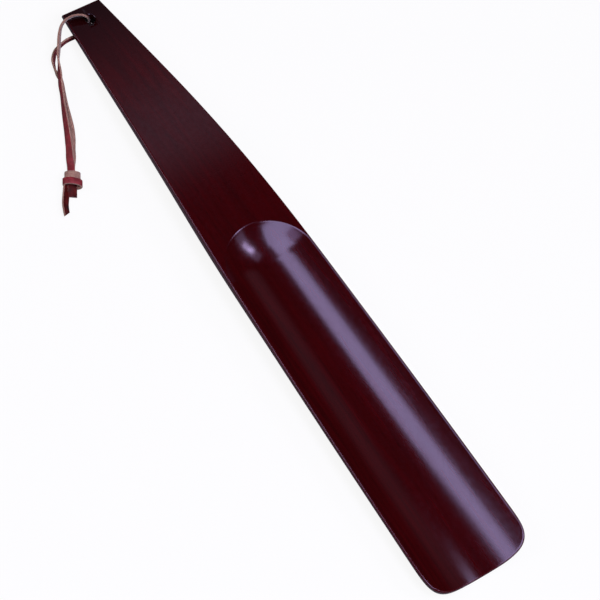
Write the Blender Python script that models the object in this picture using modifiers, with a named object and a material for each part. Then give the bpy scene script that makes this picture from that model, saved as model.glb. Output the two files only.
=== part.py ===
# Wooden shoe horn with a leather lace through the end of its handle.
# Metres. The horn lies face up on a table: X runs from the handle's end to the lip, Z is up.

import math

import bmesh
import bpy
from mathutils import Matrix, Vector

# The horn in plan
horn_length = 0.280
end_width = 0.018
grip_width = 0.0312
shoulder_width = 0.0402
blade_width = 0.0449
lip_width = 0.0508
grip_station = 0.060
shoulder_station = 0.115
blade_station = 0.170
lip_corner_length = 0.023
lip_squareness = 5.0

# The face seen from the side: a straight handle, a soft bend, then the blade
handle_slope = math.radians(8.0)
blade_slope = math.radians(1.2)
bend_start = 0.032
bend_end = 0.121

# Thickness from the face to the crown of the rounded back
end_thickness = 0.0045
grip_thickness = 0.0096
shoulder_thickness = 0.0125
blade_wall = 0.0042
lip_wall = 0.0016
back_roundness = 0.85

# Height of the side between the face and the rounded back
end_side = 0.0016
shoulder_side = 0.0023
blade_side = 0.0016
lip_side = 0.0014

# The scoop, a shallow trough with a bowl-shaped end
scoop_start = 0.115
scoop_bowl_length = 0.0175
scoop_depth = 0.0065
rim_land = 0.0008
edge_radius = 0.0005

# The hole that the lace goes through
hole_from_end = 0.0065
hole_diameter = 0.0045

# Where the horn balances when it lies on its rounded back
balance_station = 0.137

# The lace, a flat leather thong: each leg runs from the middle of the hole to the knot
lace_width = 0.0030
lace_thickness = 0.0008
lace_step = 0.0030

# Routes through places seen on the real lace: x and y from the hole, z from the table, and the
# turn in degrees, 0 where the thong stands on its edge and 90 or -90 where it lies flat
front_leg = [
    (0.0000, 0.0001, 0.0053, 0),
    (0.0000, 0.0000, 0.0070, 0),
    (-0.0001, -0.0007, 0.0086, 0),
    (-0.0007, -0.0023, 0.0095, 0),
    (-0.0016, -0.0043, 0.0098, 0),
    (-0.0025, -0.0066, 0.0098, 0),
    (-0.0028, -0.0095, 0.0096, 0),
    (-0.0021, -0.0127, 0.0089, 0),
    (0.0001, -0.0156, 0.0077, 0),
    (0.0031, -0.0178, 0.0063, 0),
    (0.0059, -0.0195, 0.0051, 0),
    (0.0083, -0.0206, 0.0036, 0),
    (0.0110, -0.0216, 0.0021, 0),
    (0.0149, -0.0231, 0.0016, 0),
    (0.0207, -0.0256, 0.0016, -2),
    (0.0271, -0.0287, 0.0015, -12),
    (0.0318, -0.0309, 0.0014, -30),
    (0.0366, -0.0331, 0.0012, -50),
    (0.0427, -0.0366, 0.0009, -65),
    (0.0482, -0.0404, 0.0009, -82),
    (0.0522, -0.0436, 0.0014, -90),
]
back_leg = [
    (0.0000, 0.0001, 0.0047, 20),
    (0.0000, 0.0000, 0.0036, 45),
    (0.0001, -0.0004, 0.0022, 80),
    (0.0001, -0.0017, 0.0010, 90),
    (0.0009, -0.0048, 0.0008, 90),
    (0.0015, -0.0074, 0.0011, 72),
    (0.0018, -0.0100, 0.0015, 30),
    (0.0023, -0.0128, 0.0016, 8),
    (0.0037, -0.0168, 0.0016, 8),
    (0.0059, -0.0200, 0.0016, 15),
    (0.0088, -0.0223, 0.0016, 20),
    (0.0115, -0.0237, 0.0016, 15),
    (0.0145, -0.0244, 0.0016, 5),
    (0.0202, -0.0268, 0.0016, -2),
    (0.0266, -0.0300, 0.0016, -10),
    (0.0312, -0.0323, 0.0016, -15),
    (0.0359, -0.0345, 0.0017, -20),
    (0.0423, -0.0381, 0.0020, -31),
    (0.0476, -0.0412, 0.0025, -55),
    (0.0521, -0.0439, 0.0029, -90),
]
long_tail = [
    (0.0571, -0.0495, 0.0017, 15),
    (0.0619, -0.0535, 0.0016, 15),
    (0.0655, -0.0560, 0.0016, 15),
    (0.0687, -0.0572, 0.0016, 15),
]
short_tail = [
    (0.0585, -0.0474, 0.0020, 90),
    (0.0603, -0.0486, 0.0016, 90),
    (0.0627, -0.0500, 0.0008, 90),
]

# The knot, two turns of the thong pressed oval
knot_centre = (0.0553, -0.0457, 0.0024)
knot_heading = math.radians(-33.9)
knot_width = 0.0079
knot_height = 0.0046
knot_upper_band = 0.0030
knot_lower_band = 0.0034

# Mesh steps
face_rows = 12
scoop_rows = 24
half_columns = 12
hole_sides = 32


def clear_scene():
    for item in list(bpy.data.objects):
        bpy.data.objects.remove(item, do_unlink=True)


def new_collection(name):
    collection = bpy.data.collections.new(name)
    bpy.context.scene.collection.children.link(collection)
    return collection


def make_material(name, colour, roughness, coat=0.0):
    material = bpy.data.materials.new(name)
    material.use_nodes = True
    shader = material.node_tree.nodes["Principled BSDF"]
    shader.inputs["Base Color"].default_value = (*colour, 1.0)
    shader.inputs["Roughness"].default_value = roughness
    shader.inputs["Coat Weight"].default_value = coat
    return material


def clamp(value, low, high):
    return max(low, min(high, value))


def smooth_through(places, values, at):
    """A smooth curve through the values, read at one place."""
    steps = [b - a for a, b in zip(places, places[1:])]
    slopes = [(b - a) / step for a, b, step in zip(values, values[1:], steps)]
    inner = []
    for i in range(1, len(steps)):
        before, after = steps[i - 1], steps[i]
        inner.append((slopes[i - 1] * after + slopes[i] * before) / (before + after))
    first = 1.5 * slopes[0] - 0.5 * inner[0]
    last = 1.5 * slopes[-1] - 0.5 * inner[-1]
    tangents = [first, *inner, last]
    k = 0
    while k < len(steps) - 1 and at > places[k + 1]:
        k += 1
    u = (at - places[k]) / steps[k]
    rise = steps[k] * u * (1 - u)
    level = values[k] * (1 + 2 * u) * (1 - u) ** 2 + values[k + 1] * u * u * (3 - 2 * u)
    return level + rise * (tangents[k] * (1 - u) - tangents[k + 1] * u)


def along_horn(end, grip, shoulder, blade, lip, station):
    places = [0.0, grip_station, shoulder_station, blade_station, horn_length]
    return smooth_through(places, [end, grip, shoulder, blade, lip], station)


def half_width(station):
    widths = (end_width, grip_width, shoulder_width, blade_width, lip_width)
    return along_horn(*widths, station) / 2


def side_height(station):
    grip_side = (end_side + shoulder_side) / 2
    return along_horn(end_side, grip_side, shoulder_side, blade_side, lip_side, station)


def crown_thickness(station):
    blade = scoop_depth + blade_wall
    lip = scoop_depth + lip_wall
    return along_horn(end_thickness, grip_thickness, shoulder_thickness, blade, lip, station)


def face_height(station):
    """Height of the flat face above the handle's end, before the horn is laid on the table."""
    start, stop = math.tan(handle_slope), math.tan(blade_slope)
    bend = bend_end - bend_start
    v = clamp((station - bend_start) / bend, 0.0, 1.0)
    turned = bend * (v**3 - v**4 / 2) + max(0.0, station - bend_end)
    return start * station + (stop - start) * turned


def scoop_cut(station, across):
    """Depth of the scoop below the face."""
    bowl_end = scoop_start + scoop_bowl_length
    sideways = across / (half_width(station) - rim_land)
    lengthways = max(0.0, bowl_end - station) / scoop_bowl_length
    return scoop_depth * max(0.0, 1.0 - sideways**2 - lengthways**2)


def back_depth(station, across):
    """Depth of the rounded back below the face."""
    side = side_height(station)
    share = clamp(abs(across) / half_width(station), 0.0, 1.0)
    return side + (crown_thickness(station) - side) * (1.0 - share**2) ** back_roundness


def plan_point(inset, row, column):
    """Plan position on the grid that follows the scoop's arch and the lip, drawn in by inset."""
    share = math.sin(math.pi / 2 * column / half_columns)
    arch = scoop_start + scoop_bowl_length * (1.0 - math.sqrt(max(0.0, 1.0 - share**2)))
    square = (1.0 - abs(share) ** lip_squareness) ** (1.0 / lip_squareness)
    stop = horn_length - inset - lip_corner_length * (1.0 - square)
    if row <= face_rows:
        station = inset + (arch - inset) * row / face_rows
    else:
        station = arch + (stop - arch) * ((row - face_rows) / scoop_rows) ** 1.3
    return station, share * (half_width(station) - inset)


def rim_loop():
    """Grid places round the edge, in order."""
    rows = face_rows + scoop_rows
    loop = [(0, column) for column in range(-half_columns, half_columns)]
    loop += [(row, half_columns) for row in range(rows)]
    loop += [(rows, column) for column in range(half_columns, -half_columns, -1)]
    loop += [(row, -half_columns) for row in range(rows, 0, -1)]
    return loop


def face_point(inset, row, column):
    station, across = plan_point(inset, row, column)
    return Vector((station, across, face_height(station) - scoop_cut(station, across)))


def back_point(inset, row, column):
    station, across = plan_point(inset, row, column)
    return Vector((station, across, face_height(station) - back_depth(station, across)))


def rim_rings():
    """Rings from the edge of the face, round the rim, to the edge of the back."""
    turn = edge_radius * (1.0 - math.sqrt(0.5))
    rings = []
    for inset, drop in ((edge_radius, 0.0), (turn, turn), (0.0, edge_radius)):
        ring = []
        for place in rim_loop():
            station, across = plan_point(inset, *place)
            top = face_point(rim_land, *place).z
            ring.append(Vector((station, across, top - drop)))
        rings.append(ring)
    for inset, rise in ((0.0, edge_radius), (turn, turn)):
        ring = []
        for place in rim_loop():
            station, across = plan_point(inset, *place)
            bottom = back_point(edge_radius, *place).z
            ring.append(Vector((station, across, bottom + rise)))
        rings.append(ring)
    return rings


def skin(form, corners):
    form.faces.new(corners).smooth = True


def make_horn(collection, cutters, material):
    """The blank with its scoop: a face grid and a back grid, joined round the rim."""
    form = bmesh.new()
    rows = face_rows + scoop_rows
    columns = range(-half_columns, half_columns + 1)
    face = {}
    back = {}
    for row in range(rows + 1):
        for column in columns:
            face[row, column] = form.verts.new(face_point(rim_land, row, column))
            back[row, column] = form.verts.new(back_point(edge_radius, row, column))
    for row in range(rows):
        for column in columns[:-1]:
            corners = [(row, column), (row + 1, column), (row + 1, column + 1), (row, column + 1)]
            skin(form, [face[c] for c in corners])
            skin(form, [back[c] for c in reversed(corners)])
    loop = rim_loop()
    rings = [[face[place] for place in loop]]
    rings += [[form.verts.new(point) for point in ring] for ring in rim_rings()]
    rings.append([back[place] for place in loop])
    for upper, lower in zip(rings, rings[1:]):
        for i in range(len(loop)):
            j = (i + 1) % len(loop)
            skin(form, [upper[i], upper[j], lower[j], lower[i]])
    bmesh.ops.recalc_face_normals(form, faces=form.faces)
    mesh = bpy.data.meshes.new("wooden_horn")
    form.to_mesh(mesh)
    form.free()
    mesh.set_sharp_from_angle(angle=math.radians(28))
    mesh.materials.append(material)
    horn = bpy.data.objects.new("wooden_horn", mesh)
    collection.objects.link(horn)
    cut = horn.modifiers.new("lace hole", "BOOLEAN")
    cut.operation = "DIFFERENCE"
    cut.solver = "EXACT"
    cut.object = make_hole_cutter(cutters)
    return horn


def hole_centre():
    """Halfway through the handle, square to its face."""
    half = crown_thickness(hole_from_end) / 2
    station = hole_from_end + half * math.sin(handle_slope)
    return Vector((station, 0.0, face_height(hole_from_end) - half * math.cos(handle_slope)))


def make_hole_cutter(cutters):
    bpy.ops.mesh.primitive_cylinder_add(
        vertices=hole_sides, radius=hole_diameter / 2, depth=4 * end_thickness, location=hole_centre()
    )
    cutter = bpy.context.object
    cutter.name = "lace_hole_cutter"
    cutter.rotation_euler.y = -handle_slope
    cutter.hide_render = True
    cutter.display_type = "WIRE"
    for collection in list(cutter.users_collection):
        collection.objects.unlink(cutter)
    cutters.objects.link(cutter)
    return cutter


def rest_slope():
    """Slope of the line that touches the back before and behind the balance point."""
    rows = range(face_rows + scoop_rows + 1)
    crown = [back_point(edge_radius, row, 0) for row in rows]
    before = [p for p in crown if p.x < balance_station]
    behind = [p for p in crown if p.x >= balance_station]
    lines = []
    for a in before:
        for b in behind:
            slope = (b.z - a.z) / (b.x - a.x)
            lines.append((a.z + slope * (balance_station - a.x), slope))
    return min(lines)[1]


def make_empty(name, matrix):
    empty = bpy.data.objects.new(name, None)
    bpy.context.scene.collection.objects.link(empty)
    empty.matrix_world = matrix
    return empty


def lay_on_table(horn, cutter):
    """Turns the horn about Y until its back lies on the table, with its box centred on the origin."""
    turn = Matrix.Rotation(math.atan(rest_slope()), 4, "Y")
    corners = [turn @ vertex.co for vertex in horn.data.vertices]
    low = min(corner.z for corner in corners)
    middle = (min(corner.x for corner in corners) + max(corner.x for corner in corners)) / 2
    pose = make_empty("table_pose", Matrix.Translation((-middle, 0.0, -low)) @ turn)
    horn.parent = pose
    cutter.parent = pose
    return pose.matrix_world.copy()


def smooth_route(route):
    """Evenly spread points on a smooth curve through the route's own points."""
    lengths = [0.0]
    for a, b in zip(route, route[1:]):
        lengths.append(lengths[-1] + math.dist(a[:3], b[:3]))
    points = []
    for start, stop in zip(lengths, lengths[1:]):
        count = max(1, round((stop - start) / lace_step))
        for k in range(count):
            at = start + (stop - start) * k / count
            points.append([smooth_through(lengths, values, at) for values in zip(*route)])
    points.append(route[-1])
    return points


def make_strip(collection, name, route, material, pivot):
    """A flat thong along a route, with round edges."""
    curve = bpy.data.curves.new(name, "CURVE")
    curve.dimensions = "3D"
    curve.twist_mode = "Z_UP"
    curve.fill_mode = "FULL"
    curve.use_fill_caps = True
    curve.extrude = (lace_width - lace_thickness) / 2
    curve.bevel_depth = lace_thickness / 2
    curve.bevel_resolution = 2
    points = smooth_route(route)
    spline = curve.splines.new("POLY")
    spline.points.add(len(points) - 1)
    for spot, (x, y, z, turn) in zip(spline.points, points):
        spot.co = (x, y, z, 1.0)
        spot.tilt = math.radians(turn)
    curve.materials.append(material)
    strip = bpy.data.objects.new(name, curve)
    collection.objects.link(strip)
    strip.parent = pivot
    return strip


def make_knot(collection, material, pivot):
    """Two bands turned about the run of the lace, the lower one fuller, pressed oval."""
    length = knot_upper_band + knot_lower_band
    radius = knot_width / 2
    profile = [
        (0.0, length),
        (0.55 * radius, length),
        (0.66 * radius, length - 0.10 * knot_upper_band),
        (0.80 * radius, knot_lower_band + 0.60 * knot_upper_band),
        (0.84 * radius, knot_lower_band + 0.20 * knot_upper_band),
        (0.80 * radius, knot_lower_band),
        (0.96 * radius, 0.88 * knot_lower_band),
        (1.00 * radius, 0.60 * knot_lower_band),
        (0.98 * radius, 0.25 * knot_lower_band),
        (0.84 * radius, 0.02 * knot_lower_band),
        (0.70 * radius, 0.0),
        (0.0, 0.0),
    ]
    mesh = bpy.data.meshes.new("lace_knot")
    points = [(x, 0.0, z - length / 2) for x, z in profile]
    mesh.from_pydata(points, [(i, i + 1) for i in range(len(points) - 1)], [])
    mesh.materials.append(material)
    knot = bpy.data.objects.new("lace_knot", mesh)
    collection.objects.link(knot)
    wrap = knot.modifiers.new("wrap", "SCREW")
    wrap.steps = 24
    wrap.render_steps = 24
    wrap.use_merge_vertices = True
    wrap.merge_threshold = 0.00001
    wrap.use_smooth_shade = True
    knot.scale.x = knot_height / knot_width
    knot.rotation_euler = (0.0, -math.pi / 2, knot_heading)
    knot.location = knot_centre
    knot.parent = pivot
    return knot


def make_lace(collection, pivot):
    grain = make_material("red_grain_leather", (0.23, 0.020, 0.030), 0.55)
    suede = make_material("pale_suede_leather", (0.60, 0.30, 0.27), 0.9)
    make_strip(collection, "lace_front_leg", front_leg, suede, pivot)
    make_strip(collection, "lace_back_leg", back_leg, grain, pivot)
    make_knot(collection, grain, pivot)
    make_strip(collection, "lace_long_tail", long_tail, suede, pivot)
    make_strip(collection, "lace_short_tail", short_tail, grain, pivot)


def main():
    clear_scene()
    parts = new_collection("shoe_horn")
    cutters = new_collection("cutters")
    wood = make_material("mahogany_lacquer", (0.050, 0.006, 0.008), 0.22, 0.8)
    horn = make_horn(parts, cutters, wood)
    pose = lay_on_table(horn, bpy.data.objects["lace_hole_cutter"])
    hole = pose @ hole_centre()
    # The lace swings on the table round an upright axis through the hole
    pivot = make_empty("lace_pivot", Matrix.Translation((hole.x, hole.y, 0.0)))
    make_lace(parts, pivot)


main()
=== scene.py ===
# Wooden shoe horn with a leather lace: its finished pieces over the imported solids.
# Metres, in the frame of the solids: X runs from the handle's end to the lip, Z is up from the table.
import math

import bmesh
import bpy
from mathutils import Matrix, Vector


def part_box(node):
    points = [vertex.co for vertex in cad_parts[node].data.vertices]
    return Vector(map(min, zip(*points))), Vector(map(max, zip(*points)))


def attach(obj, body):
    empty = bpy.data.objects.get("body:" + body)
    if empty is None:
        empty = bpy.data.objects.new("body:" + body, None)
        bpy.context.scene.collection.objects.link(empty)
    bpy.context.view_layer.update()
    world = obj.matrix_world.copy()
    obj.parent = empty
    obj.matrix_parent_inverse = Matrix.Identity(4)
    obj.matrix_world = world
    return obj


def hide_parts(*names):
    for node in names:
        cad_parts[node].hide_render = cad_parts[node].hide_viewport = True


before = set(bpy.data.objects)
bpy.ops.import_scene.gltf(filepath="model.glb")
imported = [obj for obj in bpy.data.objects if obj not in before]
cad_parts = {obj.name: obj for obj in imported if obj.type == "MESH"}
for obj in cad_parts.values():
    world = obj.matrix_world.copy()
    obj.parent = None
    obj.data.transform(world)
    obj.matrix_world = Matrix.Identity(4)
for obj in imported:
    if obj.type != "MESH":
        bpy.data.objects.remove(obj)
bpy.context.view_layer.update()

print("frame loaded:", ", ".join(sorted(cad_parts)))


# Small helpers
def srgb(code):  # "#rrggbb" to linear
    channels = [int(code[i:i + 2], 16) / 255 for i in (1, 3, 5)]
    return (*[c / 12.92 if c <= 0.04045 else ((c + 0.055) / 1.055) ** 2.4 for c in channels], 1.0)


def perMetre(mm):  # texture scale of a pattern that repeats about every mm millimetres
    return 1000 / mm


def addNode(tree, kind, values=None, links=None, **settings):
    # a colour Mix node has its share at socket 0, its colours at 6 and 7 and its result at output 2
    node = tree.nodes.new(kind)
    for name, value in settings.items():
        setattr(node, name, value)
    for socket, value in (values or {}).items():
        node.inputs[socket].default_value = value
    for socket, source in (links or {}).items():
        if not isinstance(source, bpy.types.NodeSocket):
            source = source.outputs[0]
        tree.links.new(source, node.inputs[socket])
    return node


def newMaterial(name):
    material = bpy.data.materials.new(name)
    material.use_nodes = True
    return material, material.node_tree, material.node_tree.nodes["Principled BSDF"]


def smoothThrough(places, values, at):
    # smooth curve through the values, read at one place
    steps = [b - a for a, b in zip(places, places[1:])]
    slopes = [(b - a) / step for a, b, step in zip(values, values[1:], steps)]
    inner = []
    for i in range(1, len(steps)):
        inner.append((slopes[i - 1] * steps[i] + slopes[i] * steps[i - 1]) / (steps[i - 1] + steps[i]))
    tangents = [1.5 * slopes[0] - 0.5 * inner[0], *inner, 1.5 * slopes[-1] - 0.5 * inner[-1]]
    k = 0
    while k < len(steps) - 1 and at > places[k + 1]:
        k += 1
    u = (at - places[k]) / steps[k]
    level = values[k] * (1 + 2 * u) * (1 - u) ** 2 + values[k + 1] * u * u * (3 - 2 * u)
    return level + steps[k] * u * (1 - u) * (tangents[k] * (1 - u) - tangents[k + 1] * u)


# Camera, at the photograph's view
view = {
    "place": (0.36864, -0.69817, 1.18911),
    "right": (0.56436, 0.77361, 0.28814),
    "down": (0.78612, -0.39706, -0.47367),
    "forward": (-0.25204, 0.49382, -0.83224),
    "sensor": 36.0,
    "lens": 218.91,
    "clip": (0.05, 20.0),
}


def makeCamera():
    data = bpy.data.cameras.new("viewCamera")
    data.sensor_width = view["sensor"]
    data.lens = view["lens"]
    data.clip_start, data.clip_end = view["clip"]
    camera = bpy.data.objects.new("viewCamera", data)
    bpy.context.scene.collection.objects.link(camera)
    right, up, back = Vector(view["right"]), -Vector(view["down"]), -Vector(view["forward"])
    turned = Matrix((right, up, back)).transposed().to_4x4()
    camera.matrix_world = Matrix.Translation(view["place"]) @ turned
    bpy.context.scene.camera = camera


makeCamera()

# The leather thong: what its strips share
lace = {
    "hole": (-0.13317, 0.0),  # where the thong goes through the handle
    "width": 0.0030,
    "longTailWidth": 0.0036,  # the loose ends are drawn a little wider, partly so that their painted-dark grain covers their cast shadows
    "shortTailWidth": 0.0038,
    "tailSlant": 0.7,  # the long tail's end is snipped this far off square, as a slope
    "thickness": 0.0008,
    "arris": 0.00022,  # cut edges softened by handling
    "step": 0.0005,
    "uneven": 0.035,  # hand-cut thong is never one width
    "nap": 0.00005,  # how much its surface rises and sinks
    "seedGap": 0.731,  # length of hide between one strip's pattern and the next one's
    "grainHex": "#932a32",
    "grainDarkHex": "#65181e",
    "tailShadeHex": "#5c0f0c",  # painted shade: the tails' grain is painted dark for the shade on them and the shadows they cast on the table
    "tailShadeDarkHex": "#1e0403",
    "suedeHex": "#ac8472",
    "suedeDarkHex": "#805c4e",
    # painted shade: colour of the thong inside the hole, where the hole shades it
    "holeShadeHex": "#240b09",
    "holeShadeReach": (0.0013, 0.0026),  # painted shade in the hole, from the hole's middle: wholly dark, and unshaded again
    "waverMm": 6.0,  # sizes of the patterns
    "napTuftMm": 0.8,
    "dyePatchMm": 2.6,
    "pebbleMm": 0.42,
    "fibreMm": 0.3,  # coarser than real fibres, so that they show
    "fleshPatchMm": 3.5,
}

# Points of each leg: x and y from the hole, z from the table, and the turn in degrees,
# 0 or 180 where the thong stands on its edge and 90 or -90 where it lies flat
frontLeg = [
    (-0.0004, -0.0003, 0.0046, -124),
    (-0.0005, -0.0005, 0.0066, -104),
    (-0.0007, -0.0009, 0.0077, -74),
    (-0.0011, -0.0016, 0.0086, -47),
    (-0.0017, -0.0026, 0.0093, -34),
    (-0.0024, -0.0040, 0.0097, -28),
    (-0.0029, -0.0056, 0.0099, -24),
    (-0.0032, -0.0078, 0.0100, -16),
    (-0.0031, -0.0102, 0.0098, -8),
    (-0.0026, -0.0121, 0.0094, 2),
    (-0.0015, -0.0139, 0.0089, 14),
    (0.0003, -0.0156, 0.0083, 24),
    (0.0026, -0.0173, 0.0076, 30),
    (0.0045, -0.0185, 0.0070, 30),
    (0.0065, -0.0199, 0.0066, 28),
    (0.0082, -0.0211, 0.0062, 24),
    (0.0102, -0.0222, 0.0058, 16),
    (0.0120, -0.0231, 0.0055, 6),
    (0.0136, -0.0239, 0.0052, -4),
    (0.0158, -0.0250, 0.0049, -9),
    (0.0183, -0.0264, 0.0044, -9),
    (0.0225, -0.0281, 0.0034, -7),
    (0.0269, -0.0301, 0.0023, -11),
    (0.0312, -0.0321, 0.0018, -21),
    (0.0361, -0.0346, 0.0018, -27),
    (0.0405, -0.0369, 0.0018, -37),
    (0.0445, -0.0391, 0.0018, -46),
    (0.0475, -0.0409, 0.0016, -62),
    (0.0507, -0.0426, 0.0015, -80),
    (0.0530, -0.0440, 0.0017, -88),
    (0.0550, -0.0452, 0.0020, -90),
]
# it turns over under the handle, and passes under the front leg where the two come together
backLeg = [
    (-0.0004, -0.0003, 0.0048, 153),
    (-0.0003, -0.0003, 0.0037, 128),
    (-0.0001, -0.0006, 0.0022, 104),
    (0.0002, -0.0018, 0.0010, 88),
    (0.0008, -0.0036, 0.0012, 60),
    (0.0014, -0.0055, 0.0016, 22),
    (0.0018, -0.0075, 0.0017, 2),
    (0.0018, -0.0097, 0.0017, 2),
    (0.0020, -0.0121, 0.0017, 4),
    (0.0024, -0.0138, 0.0017, 6),
    (0.0034, -0.0168, 0.0017, 14),
    (0.0045, -0.0189, 0.0017, 26),
    (0.0060, -0.0205, 0.0016, 34),
    (0.0077, -0.0219, 0.0016, 34),
    (0.0094, -0.0227, 0.0016, 30),
    (0.0114, -0.0235, 0.0017, 22),
    (0.0133, -0.0238, 0.0017, 10),
    (0.0149, -0.0238, 0.0017, 4),
    (0.0162, -0.0240, 0.0017, 0),
    (0.0178, -0.0246, 0.0017, -4),
    (0.0220, -0.0265, 0.0017, -4),
    (0.0270, -0.0289, 0.0017, -14),
    (0.0316, -0.0309, 0.0016, -36),
    (0.0365, -0.0328, 0.0011, -62),
    (0.0408, -0.0351, 0.0009, -70),
    (0.0446, -0.0377, 0.0008, -76),
    (0.0476, -0.0395, 0.0007, -82),
    (0.0512, -0.0424, 0.0006, -90),
    (0.0540, -0.0443, 0.0010, -90),
]
longTail = [
    (0.0566, -0.0486, 0.0020, 40),
    (0.0582, -0.0497, 0.0015, 50),
    (0.0610, -0.0519, 0.0014, 52),
    (0.0639, -0.0541, 0.0014, 52),
    (0.0694, -0.0568, 0.0014, 52),
]
shortTail = [
    (0.0572, -0.0465, 0.0020, 90),
    (0.0592, -0.0476, 0.0014, 90),
    (0.0625, -0.0496, 0.0007, 90),
]


def addPaintedHoleShade(tree, tone):
    # painted shade: inside the hole the thong is painted dark, for the shade the hole casts on it
    place = addNode(tree, "ShaderNodeTexCoord").outputs["Object"]
    flat = addNode(tree, "ShaderNodeVectorMath", {1: (1.0, 1.0, 0.0)}, {0: place}, operation="MULTIPLY")
    away = addNode(tree, "ShaderNodeVectorMath", {1: (*lace["hole"], 0.0)}, {0: flat},
                   operation="DISTANCE")
    darkTo, unshadedFrom = lace["holeShadeReach"]
    holeUnshaded = addNode(tree, "ShaderNodeMapRange", {"From Min": darkTo, "From Max": unshadedFrom},
                    {"Value": away.outputs["Value"]})
    return addNode(tree, "ShaderNodeMix", {6: srgb(lace["holeShadeHex"])}, {0: holeUnshaded, 7: tone.outputs[2]},
                   data_type="RGBA")


def makeGrainLeather(name, lightHex, darkHex, shine):
    # Dyed full-grain cowhide: a soft shine over fine pebbles, in patches where the dye took unevenly
    material, tree, shader = newMaterial(name)
    place = addNode(tree, "ShaderNodeAttribute", attribute_name="laceSpot").outputs["Vector"]
    patches = addNode(tree, "ShaderNodeTexNoise", {"Scale": perMetre(lace["dyePatchMm"]), "Detail": 4.0},
                      {"Vector": place})
    pebbles = addNode(tree, "ShaderNodeTexVoronoi", {"Scale": perMetre(lace["pebbleMm"])},
                      {"Vector": place})
    spread = addNode(tree, "ShaderNodeMapRange", {"From Min": 0.3, "From Max": 0.7},
                     {"Value": patches.outputs[0]})
    tone = addNode(tree, "ShaderNodeMix", {6: srgb(darkHex), 7: srgb(lightHex)}, {0: spread},
                   data_type="RGBA")
    bump = addNode(tree, "ShaderNodeBump", {"Strength": 0.5, "Distance": 0.00005},
                   {"Height": pebbles.outputs["Distance"]})
    gloss = addNode(tree, "ShaderNodeMapRange", {"To Min": 0.42, "To Max": 0.6},
                    {"Value": patches.outputs[0]})
    # base colour, with the painted shade inside the hole
    tree.links.new(addPaintedHoleShade(tree, tone).outputs[2], shader.inputs["Base Color"])
    tree.links.new(gloss.outputs[0], shader.inputs["Roughness"])
    tree.links.new(bump.outputs[0], shader.inputs["Normal"])
    shader.inputs["IOR"].default_value = 1.48
    shader.inputs["Specular IOR Level"].default_value = shine
    return material


def makeSuede():
    # The hide's flesh side and cut edges: undyed split fibres that lie along it, matt with a pale nap
    material, tree, shader = newMaterial("paleFleshSideSuede")
    place = addNode(tree, "ShaderNodeAttribute", attribute_name="laceSpot").outputs["Vector"]
    drawn = addNode(tree, "ShaderNodeMapping", {"Scale": (0.45, 1.0, 1.0)}, {"Vector": place})
    fibres = addNode(tree, "ShaderNodeTexNoise",
                     {"Scale": perMetre(lace["fibreMm"]), "Detail": 5.0, "Roughness": 0.65},
                     {"Vector": drawn})
    patches = addNode(tree, "ShaderNodeTexNoise", {"Scale": perMetre(lace["fleshPatchMm"]), "Detail": 3.0},
                      {"Vector": place})
    both = addNode(tree, "ShaderNodeMath", links={0: fibres, 1: patches}, operation="ADD")
    spread = addNode(tree, "ShaderNodeMapRange", {"From Min": 0.75, "From Max": 1.25}, {"Value": both})
    tone = addNode(tree, "ShaderNodeMix", {6: srgb(lace["suedeDarkHex"]), 7: srgb(lace["suedeHex"])},
                   {0: spread}, data_type="RGBA")
    bump = addNode(tree, "ShaderNodeBump", {"Strength": 0.7, "Distance": 0.00008}, {"Height": fibres})
    # base colour, with the painted shade inside the hole
    tree.links.new(addPaintedHoleShade(tree, tone).outputs[2], shader.inputs["Base Color"])
    tree.links.new(bump.outputs[0], shader.inputs["Normal"])
    shader.inputs["Roughness"].default_value = 0.95
    shader.inputs["Sheen Weight"].default_value = 0.35
    shader.inputs["Sheen Roughness"].default_value = 0.5
    return material


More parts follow.
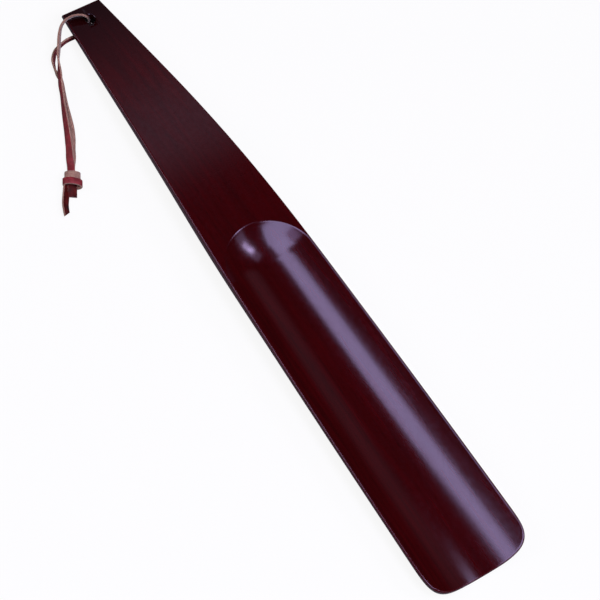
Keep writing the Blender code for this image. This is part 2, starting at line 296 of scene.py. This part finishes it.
def makeStripTree():
    # Sweeps the thong's section along a line and finishes its two sides
    tree = bpy.data.node_groups.new("leatherStrip", "GeometryNodeTree")
    tree.is_modifier = True
    tree.interface.new_socket("Geometry", in_out="INPUT", socket_type="NodeSocketGeometry")
    for name in ("Width", "Thickness", "Arris", "Uneven", "Nap"):
        tree.interface.new_socket(name, in_out="INPUT", socket_type="NodeSocketFloat")
    tree.interface.new_socket("Seed", in_out="INPUT", socket_type="NodeSocketInt")
    tree.interface.new_socket("Grain Side", in_out="INPUT", socket_type="NodeSocketMaterial")
    tree.interface.new_socket("Flesh Side", in_out="INPUT", socket_type="NodeSocketMaterial")
    tree.interface.new_socket("Geometry", in_out="OUTPUT", socket_type="NodeSocketGeometry")
    given = addNode(tree, "NodeGroupInput").outputs

    # the line, with the way its width points
    line = addNode(tree, "GeometryNodeMeshToCurve", links={"Mesh": given["Geometry"]})
    across = addNode(tree, "GeometryNodeInputNamedAttribute", {"Name": "widthWay"},
                     data_type="FLOAT_VECTOR")
    aimed = addNode(tree, "GeometryNodeSetCurveNormal", links={"Curve": line, "Normal": across},
                    mode="FREE")
    gone = addNode(tree, "GeometryNodeSplineParameter").outputs["Length"]
    marked = addNode(tree, "GeometryNodeStoreNamedAttribute", {"Name": "along"},
                     {"Geometry": aimed, "Value": gone}, data_type="FLOAT", domain="POINT")

    # a width that wavers, as a hand-cut thong's does
    seedShift = addNode(tree, "ShaderNodeMath", {1: lace["seedGap"]}, {0: given["Seed"]},
                        operation="MULTIPLY")
    seededAlong = addNode(tree, "ShaderNodeMath", links={0: gone, 1: seedShift}, operation="ADD")
    waver = addNode(tree, "ShaderNodeTexNoise", {"Scale": perMetre(lace["waverMm"]), "Detail": 2.0},
                    {"W": seededAlong}, noise_dimensions="1D")
    centred = addNode(tree, "ShaderNodeMath", {1: 0.5}, {0: waver}, operation="SUBTRACT")
    radius = addNode(tree, "ShaderNodeMath", {2: 1.0}, {0: centred, 1: given["Uneven"]},
                     operation="MULTIPLY_ADD")
    sized = addNode(tree, "GeometryNodeSetCurveRadius", links={"Curve": marked, "Radius": radius})

    # the section: a flat strip with softened corners
    section = addNode(tree, "GeometryNodeCurvePrimitiveQuadrilateral",
                      links={"Width": given["Width"], "Height": given["Thickness"]})
    rounded = addNode(tree, "GeometryNodeFilletCurve", {"Count": 3, "Limit Radius": True},
                      {"Curve": section, "Radius": given["Arris"]}, mode="POLY")
    sectionPlace = addNode(tree, "GeometryNodeInputPosition")
    profile = addNode(tree, "GeometryNodeStoreNamedAttribute", {"Name": "sectionPlace"},
                      {"Geometry": rounded, "Value": sectionPlace}, data_type="FLOAT_VECTOR",
                      domain="POINT")
    strip = addNode(tree, "GeometryNodeCurveToMesh", {"Fill Caps": True},
                    {"Curve": sized, "Profile Curve": profile})

    # place on the hide for its patterns: along, across and through
    kept = addNode(tree, "GeometryNodeInputNamedAttribute", {"Name": "sectionPlace"},
                   data_type="FLOAT_VECTOR")
    parts = addNode(tree, "ShaderNodeSeparateXYZ", links={0: kept}).outputs
    keptAlong = addNode(tree, "GeometryNodeInputNamedAttribute", {"Name": "along"}, data_type="FLOAT")
    seeded = addNode(tree, "ShaderNodeMath", links={0: keptAlong, 1: seedShift}, operation="ADD")
    spot = addNode(tree, "ShaderNodeCombineXYZ", links={"X": seeded, "Y": parts["X"], "Z": parts["Y"]})
    mapped = addNode(tree, "GeometryNodeStoreNamedAttribute", {"Name": "laceSpot"},
                     {"Geometry": strip, "Value": spot}, data_type="FLOAT_VECTOR", domain="POINT")

    # a surface that is never quite even, as raised fibres leave it
    fuzz = addNode(tree, "ShaderNodeTexNoise", {"Scale": perMetre(lace["napTuftMm"]), "Detail": 3.0},
                   {"Vector": spot})
    lift = addNode(tree, "ShaderNodeMath", {1: 0.5}, {0: fuzz}, operation="SUBTRACT")
    push = addNode(tree, "ShaderNodeMath", links={0: lift, 1: given["Nap"]}, operation="MULTIPLY")
    normal = addNode(tree, "GeometryNodeInputNormal")
    offset = addNode(tree, "ShaderNodeVectorMath", links={0: normal, "Scale": push}, operation="SCALE")
    napped = addNode(tree, "GeometryNodeSetPosition", links={"Geometry": mapped, "Offset": offset})

    # flesh finish all round, then the dyed grain on one side, between the two arrises
    top = addNode(tree, "ShaderNodeMath", {1: 0.45}, {0: given["Thickness"]}, operation="MULTIPLY")
    isGrain = addNode(tree, "FunctionNodeCompare", links={0: parts["Y"], 1: top}, data_type="FLOAT",
                      operation="GREATER_THAN")
    fleshSet = addNode(tree, "GeometryNodeSetMaterial",
                       links={"Geometry": napped, "Material": given["Flesh Side"]})
    grainSet = addNode(tree, "GeometryNodeSetMaterial",
                       links={"Geometry": fleshSet, "Selection": isGrain, "Material": given["Grain Side"]})
    smooth = addNode(tree, "GeometryNodeSetShadeSmooth", {"Shade Smooth": True}, {"Geometry": grainSet})
    real = addNode(tree, "GeometryNodeRealizeInstances", links={"Geometry": smooth})
    addNode(tree, "NodeGroupOutput", links={"Geometry": real})
    return tree


grainLeather = makeGrainLeather("redGrainCowhide", lace["grainHex"], lace["grainDarkHex"], shine=0.5)
# a darker copy of the grain for the tails: painted shade and shadow
tailShadedLeather = makeGrainLeather("tailGrainPaintedShade", lace["tailShadeHex"], lace["tailShadeDarkHex"],
                                  shine=0.15)
suede = makeSuede()
stripTree = makeStripTree()


def smoothRoute(route, step):
    # evenly spread (x, y, z, turn) on a smooth curve through the route's own points
    lengths = [0.0]
    for a, b in zip(route, route[1:]):
        lengths.append(lengths[-1] + math.dist(a[:3], b[:3]))
    spots = []
    for start, stop in zip(lengths, lengths[1:]):
        count = max(1, round((stop - start) / step))
        for k in range(count):
            at = start + (stop - start) * k / count
            spots.append([smoothThrough(lengths, values, at) for values in zip(*route)])
    spots.append(list(route[-1]))
    return spots


def legLine(route):
    # centre line of a leg in the frame, and the way its width points at each place
    spots = smoothRoute(route, lace["step"])
    points = [Vector((x + lace["hole"][0], y + lace["hole"][1], z)) for x, y, z, turn in spots]
    ways = []
    for i, spot in enumerate(spots):
        heading = (points[min(i + 1, len(points) - 1)] - points[max(i - 1, 0)]).normalized()
        side = heading.cross(Vector((0, 0, 1)))
        if side.length < 0.05:  # where it runs nearly upright
            side = Vector((1, 0, 0))
        side.normalize()
        upright = side.cross(heading)
        turn = math.radians(spot[3])
        ways.append(upright * math.cos(turn) + side * math.sin(turn))
    return points, ways


def makeStrip(name, points, ways, seed, grainUp=True, width=lace["width"], grain=grainLeather):
    # one strip of thong: a line with its directions, swept by the node tree and kept as a plain mesh
    mesh = bpy.data.meshes.new(name + "Line")
    mesh.from_pydata([tuple(p) for p in points], [(i, i + 1) for i in range(len(points) - 1)], [])
    attribute = mesh.attributes.new("widthWay", "FLOAT_VECTOR", "POINT")
    for spot, way in zip(attribute.data, ways):
        spot.vector = way if grainUp else -way
    line = bpy.data.objects.new(name, mesh)
    bpy.context.scene.collection.objects.link(line)
    sweep = line.modifiers.new("strip", "NODES")
    sweep.node_group = stripTree
    given = {
        "Width": width, "Thickness": lace["thickness"], "Arris": lace["arris"],
        "Uneven": lace["uneven"], "Nap": lace["nap"], "Seed": seed,
        "Grain Side": grain, "Flesh Side": suede,
    }
    for item in stripTree.interface.items_tree:
        if item.in_out == "INPUT" and item.name in given:
            sweep[item.identifier] = given[item.name]
    bpy.context.view_layer.update()
    graph = bpy.context.evaluated_depsgraph_get()
    plain = bpy.data.meshes.new_from_object(line.evaluated_get(graph))
    line.modifiers.clear()
    plain.name = name
    line.data = plain
    bpy.data.meshes.remove(mesh)
    return line


def snipEnd(piece, points, way, width):
    # trims a strip's end aslant, as one snip of the scissors leaves it, and closes it with a cut face
    ahead = (points[-1] - points[-2]).normalized()
    corner = points[-1] + way * (width / 2)
    shape = bmesh.new()
    shape.from_mesh(piece.data)
    cut = bmesh.ops.bisect_plane(shape, geom=shape.verts[:] + shape.edges[:] + shape.faces[:],
                                 plane_co=corner, plane_no=ahead - way * lace["tailSlant"],
                                 clear_outer=True)
    rim = [part for part in cut["geom_cut"] if isinstance(part, bmesh.types.BMEdge)]
    for face in bmesh.ops.contextual_create(shape, geom=rim)["faces"]:
        face.material_index = piece.data.materials.find(suede.name)
    shape.to_mesh(piece.data)
    shape.free()


def pathLength(points):
    return sum((b - a).length for a, b in zip(points, points[1:]))


frontPoints, frontWays = legLine(frontLeg)
backPoints, backWays = legLine(backLeg)
longPoints, longWays = legLine(longTail)
shortPoints, shortWays = legLine(shortTail)
frontPiece = makeStrip("laceFrontLeg", frontPoints, frontWays, seed=1)
backPiece = makeStrip("laceBackLeg", backPoints, backWays, seed=2, grainUp=False)
# the tails take the grain copy painted dark for their shade
longPiece = makeStrip("laceLongTail", longPoints, longWays, seed=3, grainUp=False,
                      width=lace["longTailWidth"], grain=tailShadedLeather)
shortPiece = makeStrip("laceShortTail", shortPoints, shortWays, seed=4, grainUp=False,
                       width=lace["shortTailWidth"], grain=tailShadedLeather)
snipEnd(longPiece, longPoints, longWays[-1], lace["longTailWidth"])
print(f"lace legs made: front {pathLength(frontPoints) * 1000:.1f} mm,"
      f" back {pathLength(backPoints) * 1000:.1f} mm")

# The knot: the two strands wrapped round the run, one above the other
knot = {
    "centre": (0.0566, -0.0460, 0.0024),  # from the hole
    "heading": -33.9,
    "halfWidth": 0.0040,
    "halfHeight": 0.0023,
    # each wrap: its place along the run, its share of the knot's girth, the degrees where it starts
    # and that it goes round, and how far it creeps along the run meanwhile
    "upperWrap": {"at": -0.0017, "share": 0.81, "start": 150, "sweep": 400, "creep": -0.0006},
    "lowerWrap": {"at": 0.0015, "share": 1.0, "start": 160, "sweep": 395, "creep": 0.0008},
    "tuck": 0.12,  # share of a wrap over which each end dives under it
    "tuckDepth": 0.38,
    "steps": 64,
}


def knotSpot(along, sideways, height):
    heading = math.radians(knot["heading"])
    ahead = Vector((math.cos(heading), math.sin(heading), 0))
    left = Vector((-ahead.y, ahead.x, 0))
    centre = Vector(knot["centre"]) + Vector((*lace["hole"], 0))
    return centre + ahead * along + left * sideways + Vector((0, 0, height))


def wrapLine(wrap):
    # a bit more than one turn round the run; its ends dive inwards under the wrap
    half = lace["thickness"] / 2
    a = knot["halfWidth"] * wrap["share"] - half
    b = knot["halfHeight"] * wrap["share"] - half
    steps, tuck = knot["steps"], knot["tuck"]
    points, outwards = [], []
    for k in range(steps + 1):
        u = k / steps
        angle = math.radians(wrap["start"] + wrap["sweep"] * u)
        dive = max(0.0, 1 - u / tuck) + max(0.0, (u - 1) / tuck + 1)
        pull = 1 - knot["tuckDepth"] * dive * dive
        along = wrap["at"] + wrap["creep"] * (u - 0.5)
        points.append(knotSpot(along, a * math.sin(angle) * pull, b * math.cos(angle) * pull))
        outwards.append((math.sin(angle) * b, math.cos(angle) * a))
    ways = []
    for i, outward in enumerate(outwards):
        heading = (points[min(i + 1, steps)] - points[max(i - 1, 0)]).normalized()
        out = knotSpot(0, *outward) - knotSpot(0, 0, 0)
        ways.append(heading.cross(out).normalized())
    return points, ways


upperPiece = makeStrip("knotUpperWrap", *wrapLine(knot["upperWrap"]), seed=5)
lowerPiece = makeStrip("knotLowerWrap", *wrapLine(knot["lowerWrap"]), seed=6, grainUp=False)
print("knot made")

for piece, node in ((frontPiece, "lace_front_leg"), (backPiece, "lace_back_leg"),
                    (longPiece, "lace_long_tail"), (shortPiece, "lace_short_tail"),
                    (upperPiece, "lace_knot"), (lowerPiece, "lace_knot")):
    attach(piece, "lace")
    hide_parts(node)

# The horn
horn = {
    "length": 0.280,
    "stations": (0.0, 0.060, 0.115, 0.170, 0.280),  # places along it where the next three are given
    "widths": (0.018, 0.0312, 0.0402, 0.0449, 0.0508),
    "thickness": (0.0045, 0.0096, 0.0125, 0.0107, 0.0081),  # face to the crown of the back
    "sides": (0.0016, 0.00195, 0.0023, 0.0016, 0.0014),  # height of the upright side
    "lipCorner": 0.023,
    "lipSquareness": 5.0,
    "handleSlope": 8.0,
    "bladeSlope": 1.2,
    "bend": (0.032, 0.121),
    "backRoundness": 0.85,
    "scoopStart": 0.115,
    "scoopBowl": 0.0175,
    "scoopDepth": 0.0065,
    "scoopEase": 0.045,  # softness of the scoop's edge
    "rimLand": 0.0008,
    "edgeRadius": 0.0005,
    "restSlope": 2.8183,  # it lies on its rounded back
    "holeFromEnd": 0.0065,
    "holeRadius": 0.00225,
    "holeEase": 0.0003,
    "cutterReach": 0.02,  # the hole's cutter stands clear of the handle and widens there
    "cutterFlare": 0.012,
    "cutterSteps": 48,
    "cutterWeld": 0.000002,
    "faceRows": 70,
    "faceCrowding": 2,  # rows lie closer towards the arch where the scoop starts
    "scoopRows": 150,
    "scoopCrowding": 1.6,
    "halfColumns": 44,
    "cornerSteps": 5,
    "woodHex": "#290203",
    "woodRedHex": "#3f0205",
    "poreHex": "#160101",
    "poreShow": 0.5,
    # lighter red on the rim's rounded edge: real edge wear mixed with a painted highlight
    "edgeWearHighlightHex": "#5c1216",
    "edgeWearHighlightShow": 0.2,  # how far the lighter red shows on the edges: wear together with a painted highlight
    "sheenHex": "#e4d7ff",
    "darkEnd": (-0.140, -0.102),  # darker towards the handle's end
    "figureMm": (55, 2.2, 2.2),  # sizes of the patterns: along the grain, across and through
    "poreMm": (4.5, 0.3, 0.3),
    "cloudMm": 38,
    "peelMm": 1.8,  # the lacquer's orange peel
}


def alongHorn(name, station):
    return smoothThrough(horn["stations"], horn[name], station)


def faceHeight(station):
    start, stop = math.tan(math.radians(horn["handleSlope"])), math.tan(math.radians(horn["bladeSlope"]))
    bendStart, bendEnd = horn["bend"]
    bend = bendEnd - bendStart
    v = min(max((station - bendStart) / bend, 0.0), 1.0)
    turned = bend * (v**3 - v**4 / 2) + max(0.0, station - bendEnd)
    return start * station + (stop - start) * turned


def scoopCut(station, across):
    bowlEnd = horn["scoopStart"] + horn["scoopBowl"]
    sideways = across / (alongHorn("widths", station) / 2 - horn["rimLand"])
    lengthways = max(0.0, bowlEnd - station) / horn["scoopBowl"]
    depth = 1.0 - sideways**2 - lengthways**2
    ease = horn["scoopEase"]
    if depth < ease:
        depth = max(0.0, depth + ease) ** 2 / (4 * ease)
    return horn["scoopDepth"] * depth


def backDepth(station, across):
    side = alongHorn("sides", station)
    share = min(abs(across) / (alongHorn("widths", station) / 2), 1.0)
    return side + (alongHorn("thickness", station) - side) * (1.0 - share**2) ** horn["backRoundness"]


def planPoint(inset, row, column):
    # grid that follows the scoop's arch and the lip, drawn in by inset
    share = math.sin(math.pi / 2 * column / horn["halfColumns"])
    arch = horn["scoopStart"] + horn["scoopBowl"] * (1.0 - math.sqrt(max(0.0, 1.0 - share**2)))
    square = (1.0 - abs(share) ** horn["lipSquareness"]) ** (1.0 / horn["lipSquareness"])
    stop = horn["length"] - inset - horn["lipCorner"] * (1.0 - square)
    rows, scoopRows = horn["faceRows"], horn["scoopRows"]
    if row <= rows:
        station = inset + (arch - inset) * (1.0 - (1.0 - row / rows) ** horn["faceCrowding"])
    else:
        station = arch + (stop - arch) * ((row - rows) / scoopRows) ** horn["scoopCrowding"]
    return station, share * (alongHorn("widths", station) / 2 - inset)


def rimLoop():
    rows, half = horn["faceRows"] + horn["scoopRows"], horn["halfColumns"]
    loop = [(0, column) for column in range(-half, half)]
    loop += [(row, half) for row in range(rows)]
    loop += [(rows, column) for column in range(half, -half, -1)]
    loop += [(row, -half) for row in range(rows, 0, -1)]
    return loop


def rimRings():
    # from the edge of the face, round the rim and the side, to the edge of the back
    radius, steps = horn["edgeRadius"], horn["cornerSteps"]
    turns = [math.pi / 2 * k / steps for k in range(steps + 1)]
    loop = rimLoop()
    upper, lower = [], []
    for turn in turns:
        inset, drop = radius * (1 - math.sin(turn)), radius * (1 - math.cos(turn))
        ring = []
        for spot in loop:
            station, across = planPoint(inset, *spot)
            level, aside = planPoint(radius, *spot)
            ring.append(Vector((station, across, faceHeight(level) - scoopCut(level, aside) - drop)))
        upper.append(ring)
    for turn in reversed(turns[:-1]):
        inset, rise = radius * (1 - math.sin(turn)), radius * (1 - math.cos(turn))
        ring = []
        for spot in loop:
            station, across = planPoint(inset, *spot)
            level, aside = planPoint(radius, *spot)
            ring.append(Vector((station, across, faceHeight(level) - backDepth(level, aside) + rise)))
        lower.append(ring)
    return upper, lower


def makeHornMesh():
    form = bmesh.new()
    wornAndLit = form.verts.layers.float.new("edgeWearAndHighlight")
    rows, half = horn["faceRows"] + horn["scoopRows"], horn["halfColumns"]
    columns = range(-half, half + 1)
    face, back = {}, {}
    for row in range(rows + 1):
        for column in columns:
            station, across = planPoint(horn["rimLand"], row, column)
            height = faceHeight(station) - scoopCut(station, across)
            face[row, column] = form.verts.new((station, across, height))
            station, across = planPoint(horn["edgeRadius"], row, column)
            height = faceHeight(station) - backDepth(station, across)
            back[row, column] = form.verts.new((station, across, height))
    for row in range(rows):
        for column in columns[:-1]:
            corners = [(row, column), (row + 1, column), (row + 1, column + 1), (row, column + 1)]
            form.faces.new([face[c] for c in corners])
            form.faces.new([back[c] for c in reversed(corners)])
    loop = rimLoop()
    upper, lower = rimRings()
    rings = [[face[spot] for spot in loop]]
    rings += [[form.verts.new(point) for point in ring] for ring in upper]
    rings += [[form.verts.new(point) for point in ring] for ring in lower[:-1]]
    rings.append([back[spot] for spot in loop])
    # the rim's rounded upper edge is marked for wear and a painted highlight
    for ring in rings[1:len(upper) + 1]:
        for vert in ring:
            vert[wornAndLit] = 1.0
    for above, below in zip(rings, rings[1:]):
        for i in range(len(loop)):
            j = (i + 1) % len(loop)
            form.faces.new([above[i], above[j], below[j], below[i]])
    bmesh.ops.recalc_face_normals(form, faces=form.faces)
    for item in form.faces:
        item.smooth = True
    mesh = bpy.data.meshes.new("hornBody")
    form.to_mesh(mesh)
    form.free()
    return mesh


def makeHoleCutter():
    # a drill with both mouths eased by hand
    centre = horn["holeFromEnd"]
    half = alongHorn("thickness", centre) / 2
    radius, ease, reach = horn["holeRadius"], horn["holeEase"], horn["cutterReach"]
    profile = [(0.0, -reach), (radius + ease + horn["cutterFlare"], -reach), (radius + ease, -half)]
    for turn in (0.5, 1.0, math.pi / 2):
        profile.append((radius + ease * (1 - math.sin(turn)), -half + ease * (1 - math.cos(turn))))
    profile += [(x, -z) for x, z in reversed(profile)]
    form = bmesh.new()
    verts = [form.verts.new((x, 0, z)) for x, z in profile]
    edges = [form.edges.new(pair) for pair in zip(verts, verts[1:])]
    bmesh.ops.spin(form, geom=verts + edges, cent=(0, 0, 0), axis=(0, 0, 1), angle=2 * math.pi,
                   steps=horn["cutterSteps"])
    bmesh.ops.remove_doubles(form, verts=form.verts, dist=horn["cutterWeld"])
    bmesh.ops.recalc_face_normals(form, faces=form.faces)
    mesh = bpy.data.meshes.new("holeCutter")
    form.to_mesh(mesh)
    form.free()
    slope = math.radians(horn["handleSlope"])
    middle = Vector((centre + half * math.sin(slope), 0, faceHeight(centre) - half * math.cos(slope)))
    mesh.transform(Matrix.Translation(middle) @ Matrix.Rotation(-slope, 4, "Y"))
    cutter = bpy.data.objects.new("holeCutter", mesh)
    bpy.context.scene.collection.objects.link(cutter)
    return cutter


def makeMahogany():
    # Mahogany stained wine red under satin lacquer: a nearly black body, a soft milky shine,
    # and lighter red on the rim's rounded edges, partly wear where the lacquer is thin and partly a
    # painted highlight
    material, tree, shader = newMaterial("stainedMahoganyLacquer")
    place = addNode(tree, "ShaderNodeTexCoord").outputs["Object"]
    figureMap = addNode(tree, "ShaderNodeMapping", {"Scale": [perMetre(mm) for mm in horn["figureMm"]]},
                        {"Vector": place})
    figure = addNode(tree, "ShaderNodeTexNoise", {"Scale": 1.0, "Detail": 4.0, "Distortion": 0.4},
                     {"Vector": figureMap})
    poreMap = addNode(tree, "ShaderNodeMapping", {"Scale": [perMetre(mm) for mm in horn["poreMm"]]},
                      {"Vector": place})
    pores = addNode(tree, "ShaderNodeTexNoise", {"Scale": 1.0, "Detail": 1.0}, {"Vector": poreMap})
    cloud = addNode(tree, "ShaderNodeTexNoise", {"Scale": perMetre(horn["cloudMm"]), "Detail": 2.0},
                    {"Vector": place})
    peel = addNode(tree, "ShaderNodeTexNoise", {"Scale": perMetre(horn["peelMm"]), "Detail": 2.0},
                   {"Vector": place})
    edge = addNode(tree, "ShaderNodeAttribute", attribute_name="edgeWearAndHighlight")

    # the wood's colour: figure and slow clouds, then the darker end, the pores, and the edges' wear with a
    # painted highlight
    figureSpread = addNode(tree, "ShaderNodeMapRange", {"From Min": 0.35, "From Max": 0.7},
                           {"Value": figure})
    cloudy = addNode(tree, "ShaderNodeMath", {2: 0.25}, {0: cloud, 1: figureSpread},
                     operation="MULTIPLY_ADD")
    body = addNode(tree, "ShaderNodeMix", {6: srgb(horn["woodHex"]), 7: srgb(horn["woodRedHex"])},
                   {0: cloudy}, data_type="RGBA")
    reach = addNode(tree, "ShaderNodeSeparateXYZ", links={0: place})
    endShare = addNode(tree, "ShaderNodeMapRange",
                     {"From Min": horn["darkEnd"][1], "From Max": horn["darkEnd"][0]},
                     {"Value": reach.outputs["X"]})
    endDarkened = addNode(tree, "ShaderNodeMix", {7: srgb(horn["poreHex"])}, {0: endShare, 6: body.outputs[2]},
                   data_type="RGBA")
    poreMask = addNode(tree, "ShaderNodeMapRange",
                       {"From Min": 0.62, "From Max": 0.72, "To Max": horn["poreShow"]},
                       {"Value": pores})
    pored = addNode(tree, "ShaderNodeMix", {7: srgb(horn["poreHex"])}, {0: poreMask, 6: endDarkened.outputs[2]},
                    data_type="RGBA")
    wearAndHighlight = addNode(tree, "ShaderNodeMath", {1: horn["edgeWearHighlightShow"]}, {0: edge.outputs["Fac"]},
                   operation="MULTIPLY")
    wornAndLit = addNode(tree, "ShaderNodeMix", {7: srgb(horn["edgeWearHighlightHex"])}, {0: wearAndHighlight, 6: pored.outputs[2]},
                   data_type="RGBA")

    # the lacquer: satin with a faint peel, and a trace of the grain telegraphing through
    gloss = addNode(tree, "ShaderNodeMapRange",
                    {"From Min": 0.3, "From Max": 0.7, "To Min": 0.14, "To Max": 0.18}, {"Value": peel})
    grainBump = addNode(tree, "ShaderNodeBump", {"Strength": 0.12, "Distance": 0.00004},
                        {"Height": figure})
    peelBump = addNode(tree, "ShaderNodeBump", {"Strength": 0.1, "Distance": 0.00003},
                       {"Height": peel, "Normal": grainBump})
    tree.links.new(wornAndLit.outputs[2], shader.inputs["Base Color"])
    tree.links.new(gloss.outputs[0], shader.inputs["Roughness"])
    tree.links.new(peelBump.outputs[0], shader.inputs["Normal"])
    shader.inputs["IOR"].default_value = 1.55
    shader.inputs["Specular Tint"].default_value = srgb(horn["sheenHex"])
    return material


def makeHorn():
    mesh = makeHornMesh()
    cutter = makeHoleCutter()
    body = bpy.data.objects.new("hornBody", mesh)
    bpy.context.scene.collection.objects.link(body)
    drill = body.modifiers.new("drill", "BOOLEAN")
    drill.operation = "DIFFERENCE"
    drill.solver = "EXACT"
    drill.object = cutter
    graph = bpy.context.evaluated_depsgraph_get()
    drilled = bpy.data.meshes.new_from_object(body.evaluated_get(graph))
    body.modifiers.clear()
    body.data = drilled
    bpy.data.objects.remove(cutter)
    bpy.data.meshes.remove(mesh)
    # laid down as its solid lies
    drilled.transform(Matrix.Rotation(math.radians(horn["restSlope"]), 4, "Y"))
    low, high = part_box("wooden_horn")
    xs = [v.co.x for v in drilled.vertices]
    zs = [v.co.z for v in drilled.vertices]
    shift = Vector(((low.x + high.x - min(xs) - max(xs)) / 2, 0, low.z - min(zs)))
    drilled.transform(Matrix.Translation(shift))
    drilled.materials.clear()
    drilled.materials.append(makeMahogany())
    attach(body, "horn")
    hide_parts("wooden_horn")
    return body


hornPiece = makeHorn()
print("horn made:", len(hornPiece.data.vertices), "points")

# Table, lamps and backdrop
studio = {
    "floorHalf": 3,
    "floorHex": "#f2f1f0",
    "floorBounceHex": "#8c8886",  # the camera sees white card, the lacquer and the lamps see grey
    "floorGlow": 0.9,  # share of plain white that the camera sees, the rest keeps the shadow
    "skyStrength": 0.008,
    # dim walls that the lacquer picks up: way from the table, strength, and cosine where it fades out
    "walls": (
        ((-0.40, 0.49, 0.775), 0.51, 0.9941),
        ((-0.28, 0.79, 0.54), 0.14, 0.962),
    ),
}
ceiling = 1.9
# A lamp's size is along and across, and yaw turns along from X, in degrees.
# It looks straight down where it is given nothing to face.
lamps = {
    # a row of windows overhead: the handle's glow, and the fan and the streak in the scoop
    "overhead": {"place": (-0.35, -0.08, ceiling), "yaw": 33, "size": (0.60, 0.50),
                 "radiance": 5.8, "hex": "#e6e4ff"},
    "overheadJoin": {"place": (-0.066, -0.272, ceiling), "yaw": 33, "size": (0.19, 0.13),
                     "radiance": 5.8, "hex": "#e6e4ff"},
    "overheadMiddle": {"place": (0.3675, -0.235, ceiling), "yaw": 9, "size": (0.725, 0.84),
                       "radiance": 6.0, "hex": "#e6e4ff"},
    "overheadDim": {"place": (0.60, -0.86, ceiling), "yaw": 8, "size": (0.74, 0.36),
                    "radiance": 2.6, "hex": "#f0dcff"},
    "overheadEnd": {"place": (1.472, -0.26, ceiling), "yaw": 8, "size": (1.50, 1.40),
                    "radiance": 5.5, "hex": "#e6e4ff"},
    # a window across the room: the bright spot in the bowl, and the glow round it
    "window": {"place": (1.16, 1.84, ceiling), "faces": (0, 0, 0), "yaw": 47, "size": (0.95, 0.38),
               "radiance": 7.6, "hex": "#f0e4ff"},
    "windowGlow": {"place": (1.12, 1.84, ceiling), "faces": (0, 0, 0), "yaw": 42, "size": (2.2, 0.70),
                   "radiance": 1.3, "hex": "#f0e4ff"},
    # close to the blade, for the pale patch at the lip
    "windowNear": {"place": (0.118, 0.203, 0.25), "faces": (0.135, 0, 0), "yaw": 0,
                   "size": (0.035, 0.05), "radiance": 5.6, "hex": "#ece8ff"},
    # from the lace's side, for the leather and the rim's edge
    "fill": {"place": (-0.65, -1.15, 0.85), "faces": (0, 0, 0), "yaw": 0, "size": (0.95, 0.55),
             "radiance": 4.0, "hex": "#fff6f2"},
}


def makeFloor():
    # pale tabletop
    half = studio["floorHalf"]
    mesh = bpy.data.meshes.new("tabletop")
    mesh.from_pydata([(-half, -half, 0), (half, -half, 0), (half, half, 0), (-half, half, 0)], [],
                     [(0, 1, 2, 3)])
    floor = bpy.data.objects.new("tabletop", mesh)
    bpy.context.scene.collection.objects.link(floor)
    material, tree, shader = newMaterial("paleMattCard")
    shader.inputs["Roughness"].default_value = 0.9
    isSeen = addNode(tree, "ShaderNodeLightPath").outputs["Is Camera Ray"]
    card = addNode(tree, "ShaderNodeMix", {6: srgb(studio["floorBounceHex"]), 7: srgb(studio["floorHex"])},
                   {0: isSeen}, data_type="RGBA")
    tree.links.new(card.outputs[2], shader.inputs["Base Color"])
    white = addNode(tree, "ShaderNodeEmission", {"Color": (1, 1, 1, 1), "Strength": 1.0})
    glow = addNode(tree, "ShaderNodeMath", {1: studio["floorGlow"]}, {0: isSeen}, operation="MULTIPLY")
    mixed = addNode(tree, "ShaderNodeMixShader", links={0: glow, 1: shader, 2: white})
    tree.links.new(mixed.outputs[0], tree.nodes["Material Output"].inputs["Surface"])
    mesh.materials.append(material)


def makeLamp(name):
    lamp = lamps[name]
    data = bpy.data.lights.new(name, "AREA")
    data.shape = "RECTANGLE"
    data.size, data.size_y = lamp["size"]
    data.energy = lamp["radiance"] * math.pi * data.size * data.size_y
    data.color = srgb(lamp["hex"])[:3]
    light = bpy.data.objects.new(name, data)
    bpy.context.scene.collection.objects.link(light)
    place, yaw = Vector(lamp["place"]), math.radians(lamp["yaw"])
    faces = Vector(lamp.get("faces", (place.x, place.y, 0)))
    back = (place - faces).normalized()
    along = Vector((math.cos(yaw), math.sin(yaw), 0))
    along = (along - back * along.dot(back)).normalized()
    turned = Matrix((along, back.cross(along), back)).transposed()
    light.matrix_world = Matrix.Translation(place) @ turned.to_4x4()


def makeSky():
    world = bpy.data.worlds.new("paleRoom")
    bpy.context.scene.world = world
    world.use_nodes = True
    tree = world.node_tree
    sky = tree.nodes["Background"]
    sky.inputs["Color"].default_value = (1, 1, 1, 1)
    way = addNode(tree, "ShaderNodeTexCoord").outputs["Generated"]
    level = addNode(tree, "ShaderNodeValue")
    level.outputs[0].default_value = studio["skyStrength"]
    for middle, glow, fade in studio["walls"]:
        near = addNode(tree, "ShaderNodeVectorMath", {1: Vector(middle).normalized()}, {0: way},
                       operation="DOT_PRODUCT")
        soft = addNode(tree, "ShaderNodeMapRange", {"From Min": fade, "From Max": 1.0, "To Max": glow},
                       {"Value": near.outputs["Value"]}, interpolation_type="SMOOTHSTEP")
        level = addNode(tree, "ShaderNodeMath", links={0: level, 1: soft}, operation="ADD")
    # the camera sees plain white behind the table
    isSeen = addNode(tree, "ShaderNodeLightPath").outputs["Is Camera Ray"]
    strength = addNode(tree, "ShaderNodeMix", {"B": 1.0}, {"Factor": isSeen, "A": level})
    tree.links.new(strength.outputs[0], sky.inputs["Strength"])


makeFloor()
for lampName in lamps:
    makeLamp(lampName)
makeSky()
bpy.context.scene.view_settings.view_transform = "Standard"
print("stage lit")
